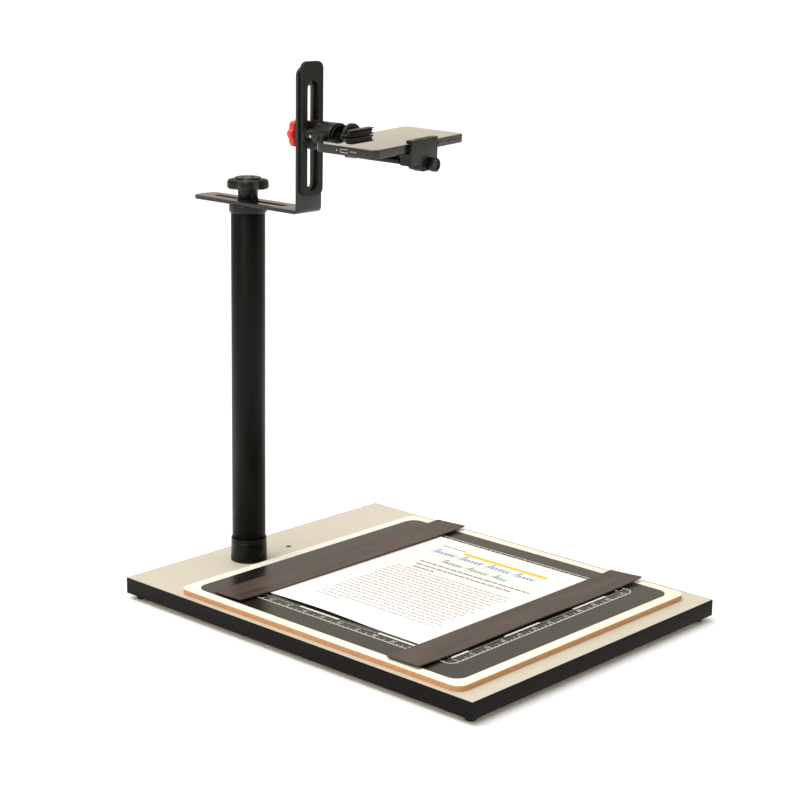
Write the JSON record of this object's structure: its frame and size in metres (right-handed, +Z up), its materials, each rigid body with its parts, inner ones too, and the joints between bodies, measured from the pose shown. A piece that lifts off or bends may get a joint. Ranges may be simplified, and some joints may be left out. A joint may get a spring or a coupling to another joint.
{
  "type": "book scanner",
  "caption": "Copy stand for scanning books: laminate board, column, slotted arm, ball head and spring clamp holding a telephone over a ruled copy panel with a page.",
  "frame": {"origin": "on the table, under the middle of the whole stand's footprint, board and arm", "axes": "+Z up, +X along the telephone's long side and the page's length, +Y towards the column at the back edge of the board"},
  "size_m": [0.406, 0.535, 0.5968],
  "materials": {
    "laminate_grey": "matte",
    "board_core": "matte",
    "edge_black": "satin",
    "rubber_black": "matte",
    "steel_bright": "polished",
    "steel_black": "satin",
    "aluminium_black": "satin",
    "plastic_black": "satin",
    "plastic_red": "satin",
    "brass": "polished",
    "nylon_white": "matte",
    "hardboard": "matte",
    "white_face": "satin",
    "sheet_print": "glossy",
    "magnet_brown": "satin",
    "paper": "matte",
    "glass": "glossy",
    "phone_frame": "satin"
  },
  "bodies": {
    "stand": {"base_core": "board_core", "top_laminate": "laminate_grey", "bottom_laminate": "laminate_grey", "edge_band": "edge_black", "rubber_feet": "rubber_black", "foot_screws": "steel_bright", "column_locating_screw": "steel_black", "column_collar": "plastic_black", "column_tube": "aluminium_black", "column_foot_plug": "plastic_black", "column_bolt": "steel_bright", "column_bolt_washer": "steel_bright", "column_cap": "plastic_black", "cap_thread_insert": "brass"},
    "arm_turn": {"friction_washer": "plastic_black"},
    "arm": {"arm_bracket": "steel_black", "friction_pad": "rubber_black"},
    "top_clamp": {"top_knob": "plastic_black", "top_knob_stud": "steel_bright", "top_knob_washer": "steel_black"},
    "head": {"head_base": "aluminium_black", "head_set_screw": "steel_bright", "ball_socket": "aluminium_black", "socket_ring": "aluminium_black"},
    "red_clamp": {"red_knob": "plastic_red", "red_knob_stud": "steel_bright", "red_knob_washer": "steel_black"},
    "ball_lock": {"ball_lock_knob": "plastic_black"},
    "pan_liner": {"ball_liner": "nylon_white"},
    "tilt_ball": {"clamp_ball": "steel_bright"},
    "clamp": {"clamp_mount_stem": "aluminium_black", "far_jaw": "plastic_black", "far_jaw_pad": "rubber_black", "clamp_spring_sleeves": "plastic_black"},
    "moving_jaw": {"near_jaw": "plastic_black", "near_jaw_pad": "rubber_black", "guide_rods": "steel_black"},
    "jaw_lock": {"jaw_lock_knob": "plastic_black"},
    "phone": {"phone_body": "phone_frame", "phone_screen": "glass", "phone_camera_bump": "glass", "phone_camera_lenses": "glass"},
    "power_button": {"phone_power_button": "phone_frame"},
    "volume_up_button": {"phone_volume_up_button": "phone_frame"},
    "volume_down_button": {"phone_volume_down_button": "phone_frame"},
    "panel": {"copy_panel": "hardboard", "copy_panel_face": "white_face", "steel_sheet": "sheet_print"},
    "back_strip": {"magnetic_strip_back": "magnet_brown"},
    "front_strip": {"magnetic_strip_front": "magnet_brown"},
    "copy_page": {"page": "paper"}
  },
  "joints": [
    {"name": "arm_swivel", "type": "hinge", "parent": "stand", "child": "arm_turn", "pos_m": [-0.06, 0.1935, 0.451], "axis": [0, 0, 1], "continuous": true},
    {"name": "arm_reach", "type": "slide", "parent": "arm_turn", "child": "arm", "axis": [0, 1, 0], "range_m": [-0.048, 0.034]},
    {"name": "top_knob_turn", "type": "hinge", "parent": "stand", "child": "top_clamp", "pos_m": [-0.06, 0.1935, 0.451], "axis": [0, 0, 1], "range_deg": [0, 720]},
    {"name": "head_height", "type": "slide", "parent": "arm", "child": "head", "axis": [0, 0, 1], "range_m": [-0.048, 0.045]},
    {"name": "red_knob_turn", "type": "hinge", "parent": "head", "child": "red_clamp", "pos_m": [-0.06, 0.1115, 0.52], "axis": [0, 1, 0], "range_deg": [0, 720]},
    {"name": "ball_lock_turn", "type": "hinge", "parent": "head", "child": "ball_lock", "pos_m": [-0.076, 0.061, 0.52], "axis": [-1, 0, 0], "range_deg": [0, 360]},
    {"name": "head_pan", "type": "hinge", "parent": "head", "child": "pan_liner", "pos_m": [-0.06, 0.061, 0.52], "axis": [0, 0, 1], "range_deg": [-10, 10]},
    {"name": "head_tilt", "type": "hinge", "parent": "pan_liner", "child": "tilt_ball", "pos_m": [-0.06, 0.061, 0.52], "axis": [1, 0, 0], "range_deg": [-10, 10]},
    {"name": "head_roll", "type": "hinge", "parent": "tilt_ball", "child": "clamp", "pos_m": [-0.06, 0.061, 0.52], "axis": [0.1158, -0.9929, -0.0279], "range_deg": [-45, 45]},
    {"name": "jaw_open", "type": "slide", "parent": "clamp", "child": "moving_jaw", "axis": [0.1158, -0.9929, -0.0279], "range_m": [0, 0.018], "stiffness_N_per_m": 400, "springref_m": -0.02},
    {"name": "jaw_lock_turn", "type": "hinge", "parent": "moving_jaw", "child": "jaw_lock", "pos_m": [-0.02097, -0.04402, 0.49818], "axis": [0.1158, -0.9929, -0.0279], "range_deg": [0, 360]},
    {"name": "phone_shift", "type": "slide", "parent": "clamp", "child": "phone", "axis": [0.9929, 0.1149, 0.0314], "range_m": [-0.007, 0.012]},
    {"name": "power_button_press", "type": "slide", "parent": "phone", "child": "power_button", "axis": [-0.1158, 0.9929, 0.0279], "range_m": [0, 0.0003], "stiffness_N_per_m": 800},
    {"name": "volume_up_button_press", "type": "slide", "parent": "phone", "child": "volume_up_button", "axis": [-0.1158, 0.9929, 0.0279], "range_m": [0, 0.0003], "stiffness_N_per_m": 800},
    {"name": "volume_down_button_press", "type": "slide", "parent": "phone", "child": "volume_down_button", "axis": [-0.1158, 0.9929, 0.0279], "range_m": [0, 0.0003], "stiffness_N_per_m": 800},
    {"name": "panel_lift", "type": "slide", "parent": "stand", "child": "panel", "axis": [0, 0, 1], "range_m": [0, 0.1]},
    {"name": "back_strip_lift", "type": "slide", "parent": "panel", "child": "back_strip", "axis": [0, 0, 1], "range_m": [0, 0.06]},
    {"name": "front_strip_lift", "type": "slide", "parent": "panel", "child": "front_strip", "axis": [0, 0, 1], "range_m": [0, 0.06]},
    {"name": "page_slide", "type": "slide", "parent": "panel", "child": "copy_page", "axis": [-1, 0, 0], "range_m": [0, 0.15]}
  ]
}
